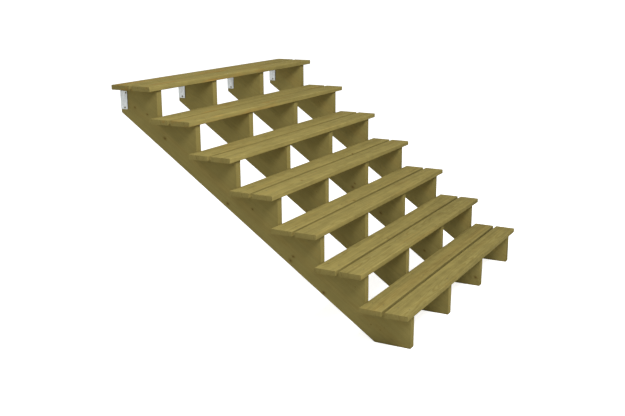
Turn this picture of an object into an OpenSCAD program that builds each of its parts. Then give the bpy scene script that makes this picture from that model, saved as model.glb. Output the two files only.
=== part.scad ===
// Straight outdoor stair of treated pine: sawn stringers, two boards to each tread,
// and a steel angle bracket at the head of every stringer to hold the flight to a deck.
// X runs along the treads, Y up the flight towards the deck, and Z is up.
// The origin is the middle of the back face of the first bracket.

/* [Flight] */
// Number of treads
tread_count = 7; // [2:1:10]
// Height from the top of one tread to the next
rise = 177; // [160:1:200]
// Depth from one riser cut to the next
going = 260; // [230:1:300]

/* [Treads] */
// Length of the tread boards
tread_length = 1830; // [900:10:2400]
// Thickness of the tread boards
tread_thickness = 28; // [22:1:45]
// Reach of a tread in front of its riser cut
nosing = 13; // [0:1:30]
// Gap between the two boards of a tread
board_gap = 18; // [8:1:30]
// Gap between a tread and the riser cut behind it
riser_gap = 1; // [1:1:10]
// Rounding along the edges of the tread boards
board_edge_r = 4; // [1:0.5:8]

/* [Stringers] */
// Number of stringers
stringer_count = 4; // [2:1:6]
// Thickness of the stringers
stringer_thickness = 44; // [36:1:60]
// Reach of the treads past the outer stringers
end_overhang = 76; // [0:1:150]
// Timber left under the inner corners of the steps, square to the slope
throat = 115; // [105:1:160]
// Rounding of the planed arrises along the lower edge of the stringers
arris_r = 3; // [1:0.5:6]

/* [Brackets] */
// Width of each leg of a bracket, measured outside
bracket_leg = 50; // [40:1:60]
// Height of a bracket
bracket_height = 105; // [80:1:110]
// Thickness of the bracket plate
bracket_plate = 2.5; // [2:0.5:4]
// Radius of the free corners of a bracket
bracket_corner_r = 6; // [2:0.5:9]
// Distance from the underside of the top tread down to a bracket
bracket_drop = 13; // [0:1:16]
// Diameter of the screw holes
screw_hole_d = 11; // [4:0.5:12]
// Distance from the ends of a bracket to its screw holes
hole_end_margin = 10; // [8:0.5:14]
// Distance from the free edge of the side leg to its upper hole
hole_edge_margin = 8.5; // [8:0.5:14]
// Sideways step from the upper hole of the side leg to the lower one
hole_stagger = 11; // [0:0.5:14]

/* [Hidden] */
$fn = 64;

BOARDS = ["front", "rear"];
board_width = (going + nosing - riser_gap - board_gap) / len(BOARDS);
stringer_spacing = (tread_length - 2 * end_overhang - stringer_thickness) / (stringer_count - 1);

pitch = atan2(rise, going);
flight_run = tread_count * going;
flight_rise = tread_count * rise;
foot_run = throat / sin(pitch);
head_depth = throat / cos(pitch);

plate_reach = bracket_leg - bracket_plate;
bracket_bottom = flight_rise - bracket_drop - bracket_height;
bracket_back = flight_run + bracket_plate;
reference = [end_overhang + plate_reach / 2, bracket_back, bracket_bottom + bracket_height / 2];

pine = [0.58, 0.53, 0.32];
pine_side = [0.50, 0.45, 0.26];
zinc = [0.74, 0.75, 0.75];

stringer_names = [for (i = [1:stringer_count]) str("stringer_", i)];
bracket_names = [for (i = [1:stringer_count]) str("bracket_", i)];
tread_names = [for (k = [1:tread_count]) [for (board = BOARDS) str("tread_", k, "_", board)]];

// Left face of a stringer, counted from the left end of the treads
function stringer_x(i) = end_overhang + i * stringer_spacing;

// Riser and tread cuts from the ground up, then the plumb head and the level foot
function stringer_outline() = concat(
    [for (k = [0:tread_count - 1]) for (level = [k, k + 1]) [k * going, level * rise]],
    [[flight_run, flight_rise], [flight_run, flight_rise - head_depth], [foot_run, 0]]
);

// Turns an outline drawn across the flight into a bar along X
module along_x(length) {
    rotate([90, 0, 90]) linear_extrude(length) children();
}

module eased_board_outline(width, thickness, r) {
    translate([r, 0]) square([width - 2 * r, thickness]);
    translate([0, r]) square([width, thickness - 2 * r]);
    for (y = [r, width - r], z = [r, thickness - r])
        translate([y, z]) circle(r);
}

// A plate that starts at the bend and has two round corners at its free end
module bracket_plate_outline(reach, height, r) {
    square([reach - r, height]);
    translate([0, r]) square([reach, height - 2 * r]);
    for (z = [r, height - r])
        translate([reach - r, z]) circle(r);
}

module bracket_leg_plate(hole_places) {
    linear_extrude(bracket_plate) difference() {
        bracket_plate_outline(plate_reach, bracket_height, bracket_corner_r);
        for (place = hole_places)
            translate(place) circle(d = screw_hole_d);
    }
}

// What a moulder takes off one arris: the corner outside a quarter round, along the lower edge
module arris_waste() {
    lower_edge = (flight_run - foot_run) / cos(pitch);
    past_end = 2 * arris_r;
    translate([0, foot_run, 0]) rotate([pitch - 90, 0, 0]) translate([0, 0, -past_end])
        linear_extrude(lower_edge + 2 * past_end) difference() {
            translate([-arris_r, -arris_r]) square(2 * arris_r);
            translate([arris_r, -arris_r]) circle(arris_r);
        }
}

module stringer(i) {
    color(pine_side) translate([stringer_x(i), 0, 0]) difference() {
        along_x(stringer_thickness) polygon(stringer_outline());
        arris_waste();
        translate([stringer_thickness, 0, 0]) mirror([1, 0, 0]) arris_waste();
    }
}

module tread_board(k, j) {
    color(pine)
        translate([0, k * going - nosing + j * (board_width + board_gap), (k + 1) * rise])
            along_x(tread_length) eased_board_outline(board_width, tread_thickness, board_edge_r);
}

// The side leg lies on the left face of the stringer and the deck leg lies behind it
module bracket(i) {
    upper = bracket_height - hole_end_margin;
    lower = hole_end_margin;
    side_holes = [
        [plate_reach - hole_edge_margin, upper],
        [plate_reach - hole_edge_margin - hole_stagger, lower]
    ];
    deck_holes = [for (z = [lower, upper]) [plate_reach / 2, z]];
    color(zinc) translate([stringer_x(i), flight_run, bracket_bottom]) {
        translate([-bracket_plate, 0, 0])
            mirror([0, 1, 0]) rotate([90, 0, 90]) bracket_leg_plate(side_holes);
        translate([0, bracket_plate, 0])
            rotate([90, 0, 0]) bracket_leg_plate(deck_holes);
        linear_extrude(bracket_height) intersection() {
            circle(bracket_plate);
            translate([-bracket_plate, 0]) square(bracket_plate);
        }
    }
}

translate(-reference) {
    for (i = [0:stringer_count - 1]) {
        stringer(i);
        bracket(i);
    }
    for (k = [0:tread_count - 1], j = [0:len(BOARDS) - 1])
        tread_board(k, j);
}
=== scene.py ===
# %% [markdown]
# # An outdoor stair of treated pine
# The stair arrives as solids at their real size: stringers, tread boards and steel brackets.
# This lesson gives them the look of new pressure-treated timber and galvanised steel, adds the screws,
# and sets up the floor, the light and the camera. Nothing is moved: Blender only dresses what is there.

# %% Load the stair
import math
import random

import bmesh
import bpy
from mathutils import Matrix, Vector


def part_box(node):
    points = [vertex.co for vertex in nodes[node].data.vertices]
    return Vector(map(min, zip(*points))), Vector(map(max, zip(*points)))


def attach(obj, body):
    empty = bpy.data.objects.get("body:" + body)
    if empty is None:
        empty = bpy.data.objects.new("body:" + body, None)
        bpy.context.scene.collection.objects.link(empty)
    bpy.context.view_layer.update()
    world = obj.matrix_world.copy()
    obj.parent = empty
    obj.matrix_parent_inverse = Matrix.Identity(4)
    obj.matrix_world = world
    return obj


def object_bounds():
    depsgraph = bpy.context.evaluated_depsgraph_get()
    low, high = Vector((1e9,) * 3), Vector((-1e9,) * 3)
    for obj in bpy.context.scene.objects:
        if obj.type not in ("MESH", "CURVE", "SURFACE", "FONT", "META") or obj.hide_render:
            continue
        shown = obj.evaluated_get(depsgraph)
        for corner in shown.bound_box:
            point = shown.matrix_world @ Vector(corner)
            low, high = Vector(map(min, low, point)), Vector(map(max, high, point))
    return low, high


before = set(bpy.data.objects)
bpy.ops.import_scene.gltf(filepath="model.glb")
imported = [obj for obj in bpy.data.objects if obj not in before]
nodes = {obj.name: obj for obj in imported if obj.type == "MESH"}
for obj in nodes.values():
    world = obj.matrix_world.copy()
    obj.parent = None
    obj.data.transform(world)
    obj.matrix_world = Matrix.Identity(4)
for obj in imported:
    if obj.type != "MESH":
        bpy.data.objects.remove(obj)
cad_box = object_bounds()
print("nodes:", len(nodes), "box:", [[round(v, 3) for v in corner] for corner in cad_box])

# %% [markdown]
# ## Sizes that the looks depend on
# Grain runs along a plank, so each piece needs its own directions. Tread boards lie along X. Stringers
# lean at the pitch of the flight, which is the rise over the going, and two neighbouring treads show
# both. The numbers could be typed in, but reading them from the solids keeps the grain true if the
# stair changes.

# %% Sort the pieces and measure the pitch
STRINGERS = sorted(name for name in nodes if name.startswith("stringer_"))
BOARDS = sorted(name for name in nodes if name.startswith("tread_"))
BRACKETS = sorted(name for name in nodes if name.startswith("bracket_"))


def middle(name):
    low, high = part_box(name)
    return (Vector(low) + Vector(high)) / 2


one_step = middle("tread_2_front") - middle("tread_1_front")
pitch = math.atan2(one_step.z, one_step.y)
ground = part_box(STRINGERS[0])[0][2]
print(len(STRINGERS), "stringers,", len(BOARDS), "boards,", len(BRACKETS), "brackets")
print("pitch in degrees:", round(math.degrees(pitch), 2), "ground at", round(ground, 4))

# %% [markdown]
# ## Eased arrises
# A planed edge is never knife-sharp, and the thin line of light along it is what makes timber look
# solid. The edge could be modelled, but a live bevel does it without touching the solid: weld the
# triangles, dissolve the flat ones, bevel what is still sharp, then shade round strips smoothly.

# %% A small node tree that shades by angle
SMOOTH_BELOW = math.radians(30)


def shading_by_angle():
    tree = bpy.data.node_groups.new("shading_by_angle", "GeometryNodeTree")
    tree.interface.new_socket("Geometry", in_out="INPUT", socket_type="NodeSocketGeometry")
    tree.interface.new_socket("Geometry", in_out="OUTPUT", socket_type="NodeSocketGeometry")
    plain = tree.nodes.new("GeometryNodeRemoveAttribute")
    plain.inputs["Name"].default_value = "custom_normal"
    smooth = tree.nodes.new("GeometryNodeSetShadeSmooth")
    crisp = tree.nodes.new("GeometryNodeSetShadeSmooth")
    crisp.domain = "EDGE"
    crisp.inputs["Shade Smooth"].default_value = False
    sharp = tree.nodes.new("FunctionNodeCompare")
    sharp.operation = "GREATER_THAN"
    sharp.inputs["B"].default_value = SMOOTH_BELOW
    angle = tree.nodes.new("GeometryNodeInputMeshEdgeAngle")
    tree.links.new(angle.outputs["Unsigned Angle"], sharp.inputs["A"])
    tree.links.new(sharp.outputs["Result"], crisp.inputs["Selection"])
    shape = tree.nodes.new("NodeGroupInput").outputs["Geometry"]
    for step in (plain, smooth, crisp):
        tree.links.new(shape, step.inputs["Geometry"])
        shape = step.outputs["Geometry"]
    tree.links.new(shape, tree.nodes.new("NodeGroupOutput").inputs["Geometry"])
    return tree


by_angle = shading_by_angle()
print("shading tree:", len(by_angle.nodes), "nodes")

# %% Live modifiers for every solid
ARRIS_WIDTH = {"stringer": 0.0009, "tread": 0.0007, "bracket": 0.0004}
ARRIS_STRIPS = 2
WELD_WITHIN = 1e-5
FLAT_WITHIN = math.radians(0.5)


def ease_arrises(name, width):
    solid = nodes[name]
    weld = solid.modifiers.new("weld", "WELD")
    weld.merge_threshold = WELD_WITHIN
    flat = solid.modifiers.new("flat", "DECIMATE")
    flat.decimate_type = "DISSOLVE"
    flat.angle_limit = FLAT_WITHIN
    arris = solid.modifiers.new("arris", "BEVEL")
    arris.width = width
    arris.segments = ARRIS_STRIPS
    arris.limit_method = "ANGLE"
    arris.angle_limit = SMOOTH_BELOW
    shading = solid.modifiers.new("shading", "NODES")
    shading.node_group = by_angle


for name in nodes:
    ease_arrises(name, ARRIS_WIDTH[name.split("_")[0]])
print("arrises eased on", len(nodes), "solids")

# %% [markdown]
# ## Small helpers for node trees
# A shader is a network of boxes and wires. Typing every box by hand hides the idea behind it, so
# these helpers read like arithmetic: each makes one box, wires its inputs and hands back its output.


# %% Wires and sums
def wire(tree, target, value):
    """Links a socket, or sets a plain value on it."""
    if isinstance(value, bpy.types.NodeSocket):
        tree.links.new(value, target)
    else:
        target.default_value = value


def number(tree, operation, *values):
    box = tree.nodes.new("ShaderNodeMath")
    box.operation = operation
    for socket, value in zip(box.inputs, values):
        wire(tree, socket, value)
    return box.outputs[0]


def vector(tree, operation, *values):
    box = tree.nodes.new("ShaderNodeVectorMath")
    box.operation = operation
    for socket, value in zip(box.inputs, values):
        wire(tree, socket, value)
    plain = operation in ("LENGTH", "DOT_PRODUCT")
    return box.outputs["Value" if plain else "Vector"]


def product(tree, first, second):
    return number(tree, "MULTIPLY", first, second)


print("sums ready")


# %% Noise and gentle steps
def cloud(tree, place, stretch, detail=2.0, output="Fac"):
    """Noise with about this many features to a metre on each axis."""
    box = tree.nodes.new("ShaderNodeTexNoise")
    box.inputs["Scale"].default_value = 1.0
    box.inputs["Detail"].default_value = detail
    wire(tree, box.inputs["Vector"], vector(tree, "MULTIPLY", place, stretch))
    return box.outputs[output]


def ease(tree, value, start, stop, low=0.0, high=1.0):
    """Goes gently from low to high while the value goes from start to stop."""
    box = tree.nodes.new("ShaderNodeMapRange")
    box.interpolation_type = "SMOOTHSTEP"
    for socket, item in zip(box.inputs, (value, start, stop, low, high)):
        wire(tree, socket, item)
    return box.outputs[0]


print("noise ready")

# %% Colours
# A Mix box has sockets for numbers, vectors and colours; these are the places of those for colours
FIRST_COLOR, SECOND_COLOR, MIXED_COLOR = 6, 7, 2


def tint(tree, factor, first, second, way="MIX"):
    box = tree.nodes.new("ShaderNodeMix")
    box.data_type = "RGBA"
    box.blend_type = way
    wire(tree, box.inputs["Factor"], factor)
    wire(tree, box.inputs[FIRST_COLOR], first)
    wire(tree, box.inputs[SECOND_COLOR], second)
    return box.outputs[MIXED_COLOR]


def times(tree, color, level):
    return tint(tree, 1.0, color, level, "MULTIPLY")


def shade(*rgb):
    """A colour on the 0 to 255 scale of a paint chart, as the linear colour that shaders use."""
    linear = [((v / 255 + 0.055) / 1.055) ** 2.4 for v in rgb]
    return (*linear, 1.0)


print("colours ready")


# %% Materials
def new_material(name):
    material = bpy.data.materials.new(name)
    material.use_nodes = True
    tree = material.node_tree
    return material, tree, tree.nodes["Principled BSDF"]


def roughen(tree, surface, height, strength, depth):
    """Fine relief that is too small for the mesh."""
    bump = tree.nodes.new("ShaderNodeBump")
    bump.inputs["Strength"].default_value = strength
    bump.inputs["Distance"].default_value = depth
    wire(tree, bump.inputs["Height"], height)
    wire(tree, surface.inputs["Normal"], bump.outputs["Normal"])


print("materials ready")

# %% [markdown]
# ## Pine from the inside
# A picture of wood wrapped round a board goes wrong at the ends and edges. Real timber is a stack of
# cones round the pith, and a saw only shows a slice, so the log is built in 3-D: distance from the pith
# makes the growth rings, and the same field gives long figure on the faces and arcs on the ends.
# The pith wanders along the log, the rings ripple, and they bulge round a knot.

# %% Growth rings
RING_WIDTH = 0.0034
PITH_BENDS = (0.9, 0, 0)
PITH_WANDER = (0.0, 0.07, 0.07)
RIPPLES = (4, 34, 34)
RIPPLE_HEIGHT = 0.006
KNOT_BULGE = 0.012
MIDDLE_GREY = (0.5, 0.5, 0.5)
ACROSS = (0.0, 1.0, 1.0)


def growth_rings(tree, place, own_place, pith, knot):
    """The way out from the pith, the distance in metres, and how much latewood there is at a place."""
    bends = cloud(tree, own_place, PITH_BENDS, output="Color")
    wander = vector(tree, "MULTIPLY", vector(tree, "SUBTRACT", bends, MIDDLE_GREY), PITH_WANDER)
    from_pith = vector(tree, "SUBTRACT", vector(tree, "SUBTRACT", place, pith), wander)
    from_pith = vector(tree, "MULTIPLY", from_pith, ACROSS)
    ripple = product(tree, cloud(tree, own_place, RIPPLES, 3.0), RIPPLE_HEIGHT)
    bulge = number(tree, "DIVIDE", KNOT_BULGE, number(tree, "MULTIPLY_ADD", knot, knot, 1.0))
    grown = number(tree, "ADD", vector(tree, "LENGTH", from_pith), number(tree, "ADD", ripple, bulge))
    season = number(tree, "FRACT", number(tree, "DIVIDE", grown, RING_WIDTH))
    late = product(tree, ease(tree, season, 0.35, 0.88), ease(tree, season, 1.0, 0.93))
    return from_pith, grown, late


print("ring width in mm:", RING_WIDTH * 1000)

# %% [markdown]
# ## Colour of treated pine
# Treatment salts stain the sapwood olive; heartwood and resin take less and stay brown. Over the rings
# lie long streaks, a soft mottle and fine fibre. One flat colour would look like plastic, so each of
# these is a noise stretched along the grain, and together they sway the tone. A plank may also carry
# a painted fall of light, darker towards its +X end, as the lamp's light fades across the flight.
# Sawn ends show rings rather than streaks, so there the sway is calmed.

# %% Colours of the pine
EARLYWOOD = shade(153, 140, 83)
LATEWOOD = shade(124, 106, 52)
HEARTWOOD = shade(158, 124, 62)
KNOT_HALO = shade(120, 98, 46)
KNOT_CORE = shade(82, 58, 28)
# Painted shade for the gaps between boards and the tight corners under the treads
PAINTED_SHADE = shade(84, 72, 38)
print("earlywood as linear colour:", [round(v, 3) for v in EARLYWOOD[:3]])

# %% Noises in the grain
# Features to a metre along, across and through a plank, then how much detail the noise has
GRAIN = {
    "streak": ((0.8, 26, 26), 3.0),
    "fine_streak": ((2.5, 80, 80), 2.0),
    "mottle": ((15, 24, 24), 2.0),
    "fibre": ((12, 620, 620), 3.0),
}
# How far each of them sways the tone, up and down
SWAY = {"streak": 0.05, "fine_streak": 0.09, "mottle": 0.05, "fibre": 0.04}
SWAY_ON_ENDS = 0.3
print("noises in the grain:", len(GRAIN))

# %% Sapwood and heartwood
HEART_RADIUS = 0.05
HEART_CORE = 0.03
BROWN_PATCHES = (2.2, 22, 22)
PATCHES_APART = (7, 7, 7)


def ringed_wood(tree, given, own_place, grown, late):
    """Sapwood with its latewood lines, and the brown of heartwood and resin."""
    color = tint(tree, product(tree, late, given["Figure"]), EARLYWOOD, LATEWOOD)
    patches = cloud(tree, vector(tree, "ADD", own_place, PATCHES_APART), BROWN_PATCHES, 2.0)
    heart = ease(tree, grown, HEART_RADIUS, HEART_CORE)
    brown = number(tree, "MAXIMUM", heart, ease(tree, patches, 0.56, 0.72))
    return tint(tree, product(tree, brown, given["Brown"]), color, HEARTWOOD)


print("heartwood fades out at mm:", HEART_RADIUS * 1000)


# %% Tone
def tone_at(tree, given, grain, ends):
    """The plank's own tone, a painted fall of light along the plank, and the sway of the grain."""
    sway = 0.0
    for name, swing in SWAY.items():
        sway = number(tree, "ADD", sway, ease(tree, grain[name], 0.25, 0.75, -swing, swing))
    sway = product(tree, sway, ease(tree, ends, 0.0, 1.0, 1.0, SWAY_ON_ENDS))
    # Painted light: the tone falls along X, darker towards +X, as the lamp's light fades across the
    # flight
    along = vector(tree, "DOT_PRODUCT", given["Place"], (1, 0, 0))
    level = number(tree, "SUBTRACT", given["Tone"], product(tree, along, given["Painted Falloff"]))
    return number(tree, "MULTIPLY_ADD", sway, given["Streaks"], level)


print("widest sway of the tone:", round(sum(SWAY.values()), 3))

# %% Stains round a knot
# Reach and full depth of a stain in knot radii, then its strength and colour
KNOT_STAINS = ((2.6, 0.9, 0.7, KNOT_HALO), (1.1, 0.6, 0.75, KNOT_CORE))


def stain_knots(tree, color, given):
    for reach, core, strength, stain in KNOT_STAINS:
        amount = ease(tree, given["Knot"], reach, core, 0.0, strength)
        color = tint(tree, product(tree, amount, given["Knot Depth"]), color, stain)
    return color


print("stains on a knot:", len(KNOT_STAINS))

# %% [markdown]
# ## Ends, worn edges with a painted highlight, and painted shade
# A sawn end takes up the salts in its own way and splits a little as it dries, along lines that run out
# from the pith. Arrises are rubbed pale in patches, which is wear and also a painted highlight along
# the edge, and painted shade darkens the gaps between boards and the tight corners under the treads.
# Each could be painted by hand, but the shader can find them: ends face along the plank, arrises are
# where a rounded normal leaves the true one, and gaps are where other surfaces stand close by.

# %% Sawn ends
SPLIT_SPOKES = (9, 9, 9)
SPLIT_WIDTH = 0.012


def sawn_ends(tree, normal, along):
    """1 on faces that look along the plank."""
    facing = number(tree, "ABSOLUTE", vector(tree, "DOT_PRODUCT", normal, along))
    return ease(tree, facing, 0.6, 0.8)


def drying_splits(tree, from_pith, ends):
    spokes = vector(tree, "MULTIPLY", vector(tree, "NORMALIZE", from_pith), ACROSS)
    off_line = number(tree, "SUBTRACT", cloud(tree, spokes, SPLIT_SPOKES, 3.0), 0.5)
    off_line = number(tree, "ABSOLUTE", off_line)
    return product(tree, ease(tree, off_line, SPLIT_WIDTH, 0.0), ends)


print("sawn ends ready")

# %% Worn edges with a painted highlight, and painted shade in gaps
EDGE_RADIUS = 0.0025
EDGE_SAMPLES = 4
GAP_SAMPLES = 8
# How far the painted shade darkens the colour at most
MOST_PAINTED_SHADE = 0.26


# Pales the arrises in patches: wear, and a painted highlight along each edge
def worn_and_highlit_edges(tree, normal, mottle):
    rounded = tree.nodes.new("ShaderNodeBevel")
    rounded.samples = EDGE_SAMPLES
    rounded.inputs["Radius"].default_value = EDGE_RADIUS
    edge = number(tree, "SUBTRACT", 1.0, vector(tree, "DOT_PRODUCT", rounded.outputs[0], normal))
    return product(tree, ease(tree, edge, 0.01, 0.2), ease(tree, mottle, 0.35, 0.65))


# Painted shade: darker where other surfaces stand close by, as in the gaps and under the treads
def shade_in_gaps(tree, reach):
    gap = tree.nodes.new("ShaderNodeAmbientOcclusion")
    gap.samples = GAP_SAMPLES
    wire(tree, gap.inputs["Distance"], reach)
    return ease(tree, gap.outputs["AO"], 0.95, 0.5, 0.0, MOST_PAINTED_SHADE)


print("edges rounded over in mm:", EDGE_RADIUS * 1000)

# %% [markdown]
# ## The pine group
# Eighteen planks share one recipe. Copying its boxes into every material would be slow to change, so
# they go into one node group, and a plank only hands it a place, a pith, a seed and a few traits.

# %% Sockets of the group
PLANK_FIELDS = ("Place", "Pith", "Seed", "Along")
PLANK_TRAITS = (
    "Knot", "Knot Depth", "Tone", "End Tone", "Painted Falloff", "Brown", "Figure", "Streaks", "Shade Reach")


def pine_sockets():
    tree = bpy.data.node_groups.new("treated_pine", "ShaderNodeTree")
    for name in PLANK_FIELDS:
        tree.interface.new_socket(name, in_out="INPUT", socket_type="NodeSocketVector")
    for name in PLANK_TRAITS:
        tree.interface.new_socket(name, in_out="INPUT", socket_type="NodeSocketFloat")
    tree.interface.new_socket("Color", in_out="OUTPUT", socket_type="NodeSocketColor")
    for name in ("Roughness", "Height"):
        tree.interface.new_socket(name, in_out="OUTPUT", socket_type="NodeSocketFloat")
    return tree


pine = pine_sockets()
print("sockets of the pine group:", len(pine.interface.items_tree))

# %% Boxes of the group
SPLIT_DEPTH = 0.6
# How much paler the arrises get, from wear and a painted highlight
RUBBED_PALE_AND_HIGHLIT = (1.12, 1.11, 1.1, 1.0)
SMOOTHEST, ROUGHEST = 0.84, 0.95
LATEWOOD_POLISH = 0.08
WEAR_ROUGHENS = 0.1
LATEWOOD_RIDGE = 0.45
FIBRE_RIDGE = 0.8


def fill_pine(tree):
    given = tree.nodes.new("NodeGroupInput").outputs
    made = tree.nodes.new("NodeGroupOutput").inputs
    normal = tree.nodes.new("ShaderNodeNewGeometry").outputs["Normal"]
    own_place = vector(tree, "ADD", given["Place"], given["Seed"])
    from_pith, grown, late = growth_rings(tree, given["Place"], own_place, given["Pith"], given["Knot"])
    grain = {name: cloud(tree, own_place, *noise) for name, noise in GRAIN.items()}
    ends = sawn_ends(tree, normal, given["Along"])
    split = drying_splits(tree, from_pith, ends)
    wear_and_highlight = worn_and_highlit_edges(tree, normal, grain["mottle"])

    color = ringed_wood(tree, given, own_place, grown, late)
    color = times(tree, color, tone_at(tree, given, grain, ends))
    color = stain_knots(tree, color, given)
    color = tint(tree, ends, color, times(tree, color, given["End Tone"]))
    color = tint(tree, product(tree, split, SPLIT_DEPTH), color, KNOT_CORE)
    # Paler arrises: wear, and a painted highlight along the edge
    color = tint(tree, wear_and_highlight, color, times(tree, color, RUBBED_PALE_AND_HIGHLIT))
    # Painted shade in the gaps and tight corners
    color = tint(tree, shade_in_gaps(tree, given["Shade Reach"]), color, PAINTED_SHADE)
    wire(tree, made["Color"], color)

    rough = ease(tree, grain["streak"], 0.2, 0.8, SMOOTHEST, ROUGHEST)
    rough = number(tree, "SUBTRACT", rough, product(tree, late, LATEWOOD_POLISH))
    wire(tree, made["Roughness"], number(tree, "MULTIPLY_ADD", wear_and_highlight, WEAR_ROUGHENS, rough))
    relief = product(tree, late, LATEWOOD_RIDGE)
    relief = number(tree, "ADD", relief, product(tree, grain["fibre"], FIBRE_RIDGE))
    wire(tree, made["Height"], number(tree, "SUBTRACT", relief, split))


fill_pine(pine)
print("boxes in the pine group:", len(pine.nodes))

# %% [markdown]
# ## One plank at a time
# No two planks come from the same place in a log. Each gets its own pith and seed, drawn from a seeded
# generator so the stair looks the same every time. A knot is the base of a branch that crosses the
# plank, so it is a field too: the distance to the branch, counted in branch radii.

# %% Knots
NO_KNOT_NEAR = 99.0
ALONG_COUNTS = 0.7
KNOT_WOBBLES = (90, 90, 90)


def knot_field(tree, place, knots):
    """Distance to the nearest knot; along the grain it counts for less, so knots are drawn out."""
    nearest = NO_KNOT_NEAR
    for along, across, radius in knots:
        offset = vector(tree, "SUBTRACT", place, (along, across, 0.0))
        in_radii = vector(tree, "MULTIPLY", offset, (ALONG_COUNTS / radius, 1.0 / radius, 0.0))
        nearest = number(tree, "MINIMUM", nearest, vector(tree, "LENGTH", in_radii))
    wobble = cloud(tree, place, KNOT_WOBBLES)
    return product(tree, nearest, ease(tree, wobble, 0.2, 0.8, 0.8, 1.2))


print("knots ready")

# %% A material for one plank
PITH_SIDEWAYS = 0.04
PITH_BELOW = (0.035, 0.09)
SEED_RANGE = (5, 90)
GRAIN_STRENGTH = 0.35
GRAIN_DEPTH = 0.0004
TIMBER_GLOSS = 0.02


def timber(name, rows, knots, dice, traits):
    """Pine for one plank, whose directions along, across and through are the three rows."""
    material, tree, surface = new_material("pine_" + name)
    turn = Matrix(rows)
    mapping = tree.nodes.new("ShaderNodeMapping")
    mapping.inputs["Rotation"].default_value = turn.to_euler()
    mapping.inputs["Location"].default_value = -(turn @ middle(name))
    wire(tree, mapping.inputs["Vector"], tree.nodes.new("ShaderNodeTexCoord").outputs["Object"])
    place = mapping.outputs["Vector"]
    sideways = dice.uniform(-PITH_SIDEWAYS, PITH_SIDEWAYS)
    pith = (0.0, sideways, dice.choice((-1, 1)) * dice.uniform(*PITH_BELOW))
    seed = [dice.uniform(*SEED_RANGE) for _ in range(3)]
    field = {"Place": place, "Pith": pith, "Seed": seed, "Along": rows[0]}
    field["Knot"] = knot_field(tree, place, knots)
    wood = tree.nodes.new("ShaderNodeGroup")
    wood.node_tree = pine
    for socket, value in (field | traits).items():
        wire(tree, wood.inputs[socket], value)
    wire(tree, surface.inputs["Base Color"], wood.outputs["Color"])
    wire(tree, surface.inputs["Roughness"], wood.outputs["Roughness"])
    roughen(tree, surface, wood.outputs["Height"], GRAIN_STRENGTH, GRAIN_DEPTH)
    surface.inputs["Specular IOR Level"].default_value = TIMBER_GLOSS
    return material


print("timber ready")


# %% Dress a solid
def dress(name, material):
    slots = nodes[name].data.materials
    slots.clear()
    slots.append(material)


print("solids to dress:", len(nodes))

# %% [markdown]
# ## Choosing the planks
# A joiner sorts planks, and so does this step. The larger knots are put where they show on the
# real stair, and small pin knots are strewn by chance. The tones also carry painted light: most treads
# get lighter up the flight to even out the lamp, which lights the lower treads more, and rear boards
# are mostly a little paler to offset the shade under the next nosing. The two top treads are the
# brownest with heartwood. Chance alone would give a stair of the same kind; choosing gives this one.

# %% Knots that show on the real planks
# Metres along and across from the middle of the plank, then the radius
SEEN_KNOTS = {
    "stringer_1": [
        (0.96, -0.03, 0.004), (0.87, -0.01, 0.004), (0.70, -0.05, 0.006), (0.17, -0.09, 0.006),
        (0.03, -0.01, 0.004), (-0.31, -0.06, 0.005), (-0.31, -0.09, 0.006), (-0.56, -0.10, 0.006)],
    "stringer_3": [
        (-0.08, -0.02, 0.004), (-0.08, -0.05, 0.006), (-0.33, -0.06, 0.006), (-0.70, -0.06, 0.005),
        (-1.05, 0.03, 0.006)],
    "tread_1_rear": [(0.47, -0.055, 0.004)],
    "tread_2_rear": [(-0.24, -0.055, 0.004)],
    "tread_3_rear": [(-0.16, -0.055, 0.005)],
    "tread_4_front": [(-0.51, -0.015, 0.005)],
    "tread_4_rear": [(0.33, -0.06, 0.004)],
}
PIN_KNOT_RADIUS = (0.0012, 0.0022)


def pin_knots(dice, count, half_length, half_width):
    """Small knots at places drawn by chance."""
    knots = []
    for _ in range(count):
        along = dice.uniform(-half_length, half_length)
        across = dice.uniform(-half_width, half_width)
        knots.append((along, across, dice.uniform(*PIN_KNOT_RADIUS)))
    return knots


print("chosen knots:", sum(len(knots) for knots in SEEN_KNOTS.values()))

# %% Tread boards
BOARD_ROWS = ((1, 0, 0), (0, 1, 0), (0, 0, 1))
# The fall of tone along the boards is painted light: darker towards +X, as the lamp's light fades
BOARD_TRAITS = {
    "Knot Depth": 0.9, "Painted Falloff": 0.08, "Figure": 0.4, "Streaks": 1.5, "End Tone": 0.93, "Shade Reach": 0.035}
BOARD_PIN_KNOTS = {"count": 3, "half_length": 0.85, "half_width": 0.05}
BOARD_DICE = 100
CHANCE_TONE = (0.98, 1.02)
# Painted light: rear boards a little paler to offset the shade under the next tread's nosing
REAR_PAINTED_LIGHT = 1.05
# Painted light: most treads lighter up the flight to even out the lamp, which lights the lower treads
# more
TREAD_PAINTED_LIGHT = {
    "tread_1_front": 0.98, "tread_1_rear": 0.93, "tread_2": 0.97, "tread_4": 1.04,
    "tread_5": 1.06, "tread_6": 1.07, "tread_7_front": 1.06, "tread_7_rear": 0.95}
BROWNEST = {"tread_7_front": 0.8, "tread_7_rear": 0.8, "tread_6_rear": 0.6, "tread_6_front": 0.45}
USUAL_BROWN = 0.14

for order, name in enumerate(BOARDS):
    dice = random.Random(BOARD_DICE + order)
    knots = SEEN_KNOTS.get(name, []) + pin_knots(dice, **BOARD_PIN_KNOTS)
    # A chance tone, times painted light for rear boards and for each tread
    tone = dice.uniform(*CHANCE_TONE) * (REAR_PAINTED_LIGHT if name.endswith("rear") else 1.0)
    for plank, own_tone in TREAD_PAINTED_LIGHT.items():
        if name.startswith(plank):
            tone *= own_tone
    traits = {"Tone": tone, "Brown": BROWNEST.get(name, USUAL_BROWN)} | BOARD_TRAITS
    dress(name, timber(name, BOARD_ROWS, knots, dice, traits))
print("timber on", len(BOARDS), "boards")

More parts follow.
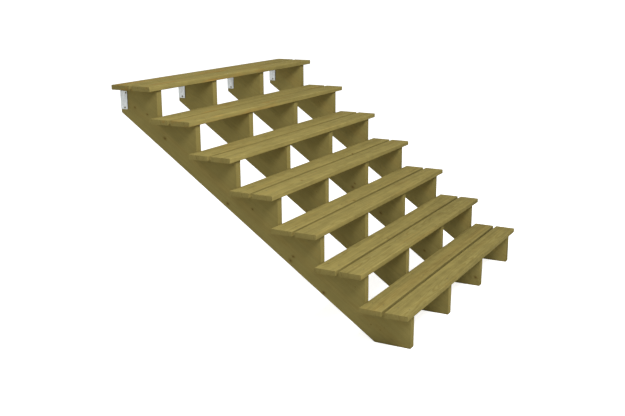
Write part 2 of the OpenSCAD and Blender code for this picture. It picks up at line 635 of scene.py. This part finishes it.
# %% Stringers
UP_THE_SLOPE = (0, math.cos(pitch), math.sin(pitch))
OUT_OF_THE_SLOPE = (0, -math.sin(pitch), math.cos(pitch))
STRINGER_ROWS = (UP_THE_SLOPE, OUT_OF_THE_SLOPE, (1, 0, 0))
STRINGER_TRAITS = {
    "Knot Depth": 0.7, "Painted Falloff": 0.0, "Brown": 0.12, "Figure": 0.18, "Streaks": 0.5, "Shade Reach": 0.012}
STRINGER_PIN_KNOTS = {"count": 4, "half_length": 0.95, "half_width": 0.08}
STRINGER_DICE = 200
# Tone of the faces, then what the sawn ends multiply it by
STRINGER_TONES = {
    "stringer_1": (0.98, 0.91), "stringer_2": (0.95, 1.02),
    "stringer_3": (0.96, 0.88), "stringer_4": (1.0, 0.72)}
USUAL_TONES = (1.0, 0.8)

for order, name in enumerate(STRINGERS):
    dice = random.Random(STRINGER_DICE + order)
    knots = SEEN_KNOTS.get(name, []) + pin_knots(dice, **STRINGER_PIN_KNOTS)
    tone, end_tone = STRINGER_TONES.get(name, USUAL_TONES)
    traits = {"Tone": tone, "End Tone": end_tone} | STRINGER_TRAITS
    dress(name, timber(name, STRINGER_ROWS, knots, dice, traits))
print("timber on", len(STRINGERS), "stringers")

# %% [markdown]
# ## Galvanised brackets
# Hot-dip zinc freezes in crystals, which show as a faint patchwork of greys, and dulls where hands and
# tools have been. A photograph of zinc would show its seams, so a cell texture gives each crystal its
# own grey and gloss, and noise adds the dull bloom.

# %% Zinc
ZINC_DARK = shade(171, 175, 175)
ZINC_LIGHT = shade(201, 204, 203)
CRYSTALS = 140.0
CRYSTAL_GREY = (0.4, 0.3, 0.3)
BLOOM = (60, 60, 60)
BLOOM_SHARE = 0.3
ZINC_SMOOTHEST, ZINC_ROUGHEST = 0.42, 0.6
ZINC_RELIEF = 0.15
ZINC_RELIEF_DEPTH = 0.0002
ZINC_METAL = 0.85


def zinc():
    material, tree, surface = new_material("galvanised_steel")
    place = tree.nodes.new("ShaderNodeTexCoord").outputs["Object"]
    crystals = tree.nodes.new("ShaderNodeTexVoronoi")
    crystals.inputs["Scale"].default_value = CRYSTALS
    wire(tree, crystals.inputs["Vector"], place)
    grey = vector(tree, "DOT_PRODUCT", crystals.outputs["Color"], CRYSTAL_GREY)
    bloom = cloud(tree, place, BLOOM, 4.0)
    grey = number(tree, "ADD", product(tree, grey, 1 - BLOOM_SHARE), product(tree, bloom, BLOOM_SHARE))
    wire(tree, surface.inputs["Base Color"], tint(tree, grey, ZINC_DARK, ZINC_LIGHT))
    wire(tree, surface.inputs["Roughness"], ease(tree, grey, 0.2, 0.8, ZINC_SMOOTHEST, ZINC_ROUGHEST))
    roughen(tree, surface, bloom, ZINC_RELIEF, ZINC_RELIEF_DEPTH)
    surface.inputs["Metallic"].default_value = ZINC_METAL
    return material


zinc_coat = zinc()
for name in BRACKETS:
    dress(name, zinc_coat)
print("zinc on", len(BRACKETS), "brackets")

# %% [markdown]
# ## Deck screws
# Two screws hold each board to each stringer. A deck screw is countersunk, its head sits a hair below
# the surface, and a coating tones it to the timber. Only the head shows, so one head is turned from a
# profile, like a pot on a wheel, with a six-lobed socket pressed in, and then copied along the board.
# The countersink is cut by a live Boolean with a hidden cutter, so the board's own solid stays whole.

# %% Turning
TURNS = 36
SOCKET_LOBES = 6


def circle_at(radius, height, lobe=0.0):
    """Points of one ring of a turned shape, with lobes if asked."""
    ring = []
    for step in range(TURNS):
        angle = math.tau * step / TURNS
        reach = radius + lobe * math.cos(SOCKET_LOBES * angle)
        ring.append((reach * math.cos(angle), reach * math.sin(angle), height))
    return ring


def turned(rings, places):
    """A closed mesh from a stack of rings, repeated at every place."""
    shape = bmesh.new()
    for place in places:
        loops = [[shape.verts.new(place + Vector(point)) for point in ring] for ring in rings]
        for lower, upper in zip(loops, loops[1:]):
            for step in range(TURNS):
                after = (step + 1) % TURNS
                shape.faces.new((lower[step], lower[after], upper[after], upper[step]))
        shape.faces.new(reversed(loops[0]))
        shape.faces.new(loops[-1])
    return shape


print("sides of a turned ring:", TURNS)


# %% From a shape to an object
def as_object(name, shape):
    mesh = bpy.data.meshes.new(name)
    shape.to_mesh(mesh)
    shape.free()
    thing = bpy.data.objects.new(name, mesh)
    bpy.context.scene.collection.objects.link(thing)
    return thing


# %% Profiles of a screw head and its countersink
HEAD_RADIUS = 0.004
HEAD_SINK = 0.0004
HEAD_LIP = 0.0003
SHANK_RADIUS = 0.0022
CONE_DEPTH = 0.003
SOCKET_RADIUS = 0.0015
SOCKET_LOBE = 0.00025
SOCKET_DEPTH = 0.0012
SOCKET_TAPER = 0.9
CUTTER_ABOVE = 0.001

HEAD_RINGS = [
    circle_at(SHANK_RADIUS, -CONE_DEPTH),
    circle_at(HEAD_RADIUS, -HEAD_SINK - HEAD_LIP),
    circle_at(HEAD_RADIUS - HEAD_LIP, -HEAD_SINK),
    circle_at(SOCKET_RADIUS, -HEAD_SINK, SOCKET_LOBE),
    circle_at(SOCKET_RADIUS * SOCKET_TAPER, -HEAD_SINK - SOCKET_DEPTH, SOCKET_LOBE),
]
COUNTERSINK_RINGS = [
    circle_at(SHANK_RADIUS, -CONE_DEPTH),
    circle_at(HEAD_RADIUS + HEAD_LIP, -HEAD_SINK - HEAD_LIP),
    circle_at(HEAD_RADIUS + HEAD_LIP, CUTTER_ABOVE),
]
print("rings of a head:", len(HEAD_RINGS), "rings of a countersink:", len(COUNTERSINK_RINGS))

# %% Coating of the screws
SCREW_COAT = shade(120, 106, 62)
SCUFFS = (900, 900, 900)
SCREW_METAL = 0.5


def screw_coat():
    material, tree, surface = new_material("coated_screw")
    place = tree.nodes.new("ShaderNodeTexCoord").outputs["Object"]
    scuff = cloud(tree, place, SCUFFS, 3.0)
    bare = ease(tree, scuff, 0.5, 0.75)
    wire(tree, surface.inputs["Base Color"], tint(tree, bare, SCREW_COAT, ZINC_DARK))
    wire(tree, surface.inputs["Roughness"], ease(tree, scuff, 0.2, 0.8, 0.6, 0.4))
    surface.inputs["Metallic"].default_value = SCREW_METAL
    return material


coat = screw_coat()
print("coating:", coat.name)

# %% Screws in every board
SCREW_INSET = 0.032


def screw_places(board):
    """Places on top of a board, over the middle of each stringer and in from both long edges."""
    low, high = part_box(board)
    rows = (low[1] + SCREW_INSET, high[1] - SCREW_INSET)
    return [Vector((middle(stringer).x, y, high[2])) for stringer in STRINGERS for y in rows]


def cut_countersinks(board, places):
    """Cuts after the arrises are eased and before the shading, so that the cones keep crisp rims."""
    cutter = as_object("countersinks_" + board, turned(COUNTERSINK_RINGS, places))
    cutter.hide_render = True
    cutter.hide_viewport = True
    steps = nodes[board].modifiers
    cut = steps.new("countersinks", "BOOLEAN")
    cut.object = cutter
    steps.move(steps.find("countersinks"), steps.find("shading"))


for board in BOARDS:
    places = screw_places(board)
    cut_countersinks(board, places)
    screws = as_object("screws_" + board, turned(HEAD_RINGS, places))
    screws.data.materials.append(coat)
    shading = screws.modifiers.new("shading", "NODES")
    shading.node_group = by_angle
    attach(screws, "root")
print("screws:", len(BOARDS) * len(places))

# %% [markdown]
# ## Floor and sky
# A studio floor has to look white and still catch a shadow. A glowing floor would wash the shadow out
# and light the timber from below, so the floor is matt and grey for the light that bounces to the stair.
# What the camera and shiny metal see of it is white with a plain glow on top, so that only the deepest
# shade stays grey. The sky does the same: white when seen, dimmer as a light.

# %% Floor
FLOOR_REACH = 300.0
FLOOR_GREY = 0.72
FLOOR_GLOW = 0.78
WHITE = (1.0, 1.0, 1.0, 1.0)


def seen_rays(tree):
    """1 for rays from the camera or off shiny things, 0 for light that bounces between surfaces."""
    path = tree.nodes.new("ShaderNodeLightPath").outputs
    shiny = number(tree, "MAXIMUM", path["Is Glossy Ray"], path["Is Transmission Ray"])
    return number(tree, "MAXIMUM", path["Is Camera Ray"], shiny)


def pale_floor():
    material, tree, surface = new_material("pale_floor")
    seen = seen_rays(tree)
    wire(tree, surface.inputs["Base Color"], ease(tree, seen, 0.0, 1.0, FLOOR_GREY, 1.0))
    surface.inputs["Roughness"].default_value = 1.0
    surface.inputs["Specular IOR Level"].default_value = 0.0
    surface.inputs["Emission Color"].default_value = WHITE
    wire(tree, surface.inputs["Emission Strength"], product(tree, seen, FLOOR_GLOW))
    return material


mesh = bpy.data.meshes.new("floor")
far = FLOOR_REACH
corners = [(-far, -far, ground), (far, -far, ground), (far, far, ground), (-far, far, ground)]
mesh.from_pydata(corners, [], [(0, 1, 2, 3)])
mesh.materials.append(pale_floor())
floor = bpy.data.objects.new("floor", mesh)
bpy.context.scene.collection.objects.link(floor)
print("floor at", round(ground, 4))

# %% Sky
SKY_LEVEL = 0.43

world = bpy.data.worlds.new("studio")
world.use_nodes = True
sky = world.node_tree.nodes["Background"]
sky.inputs["Color"].default_value = WHITE
sky_level = ease(world.node_tree, seen_rays(world.node_tree), 0.0, 1.0, SKY_LEVEL, 1.0)
wire(world.node_tree, sky.inputs["Strength"], sky_level)
bpy.context.scene.world = world
print("sky as a light:", SKY_LEVEL)

# %% [markdown]
# ## Lamps
# The sky alone leaves the stair flat. A large softbox high in front lights the treads and gives the
# stringers a shaded side; a small one, low behind, keeps that side from going dull. Bare bulbs would
# throw hard shadows, so both are wide discs. Zinc would mirror the small lamp as a white patch, so that
# lamp is left out of reflections.

# %% Softboxes
KEY_LIGHT = {"place": (-0.4, -4.3, 3.95), "size": 2.5, "power": 230}
BACK_LIGHT = {"place": (-1.0, 4.5, -0.5), "size": 1.2, "power": 66}
stair_middle = (Vector(cad_box[0]) + Vector(cad_box[1])) / 2


def softbox(name, place, size, power):
    """A round soft lamp that faces the middle of the stair."""
    lamp = bpy.data.lights.new(name, "AREA")
    lamp.shape = "DISK"
    lamp.size = size
    lamp.energy = power
    stand = bpy.data.objects.new(name, lamp)
    stand.location = place
    stand.rotation_euler = (Vector(place) - stair_middle).to_track_quat("Z", "Y").to_euler()
    bpy.context.scene.collection.objects.link(stand)
    return stand


softbox("key_light", **KEY_LIGHT)
back_light = softbox("back_light", **BACK_LIGHT)
back_light.visible_glossy = False
bpy.context.scene.view_settings.view_transform = "Standard"
print("lamps:", [light.name for light in bpy.data.lights])

# %% [markdown]
# ## Camera
# The camera stands to the left of the flight and in front of its foot, at about eye height, and looks
# across the treads and slightly down. It could be aimed by eye, but its place, heading, dip, roll and
# lens were worked out together, so that the stair's corners fall where they do in the photograph.

# %% Camera at the photograph's angle
CAMERA_PLACE = Vector((-3.975, -3.4365, 0.6766))
CAMERA_HEADING = math.radians(61.096)
CAMERA_DIP = math.radians(14.535)
CAMERA_ROLL = math.radians(0.356)
CAMERA_LENS = 51.357
FILM_WIDTH = 36.0
FAR_LIMIT = 1000.0


def make_camera():
    level_way = Vector((math.sin(CAMERA_HEADING), math.cos(CAMERA_HEADING), 0))
    forward = level_way * math.cos(CAMERA_DIP) - Vector((0, 0, math.sin(CAMERA_DIP)))
    data = bpy.data.cameras.new("photo_view")
    data.sensor_fit = "HORIZONTAL"
    data.sensor_width = FILM_WIDTH
    data.lens = CAMERA_LENS
    data.clip_end = FAR_LIMIT
    camera = bpy.data.objects.new("photo_view", data)
    turn = forward.to_track_quat("-Z", "Y").to_matrix() @ Matrix.Rotation(-CAMERA_ROLL, 3, "Z")
    camera.matrix_world = Matrix.Translation(CAMERA_PLACE) @ turn.to_4x4()
    bpy.context.scene.collection.objects.link(camera)
    bpy.context.scene.camera = camera
    return camera


camera = make_camera()
print("camera at", [round(v, 2) for v in camera.matrix_world.translation])
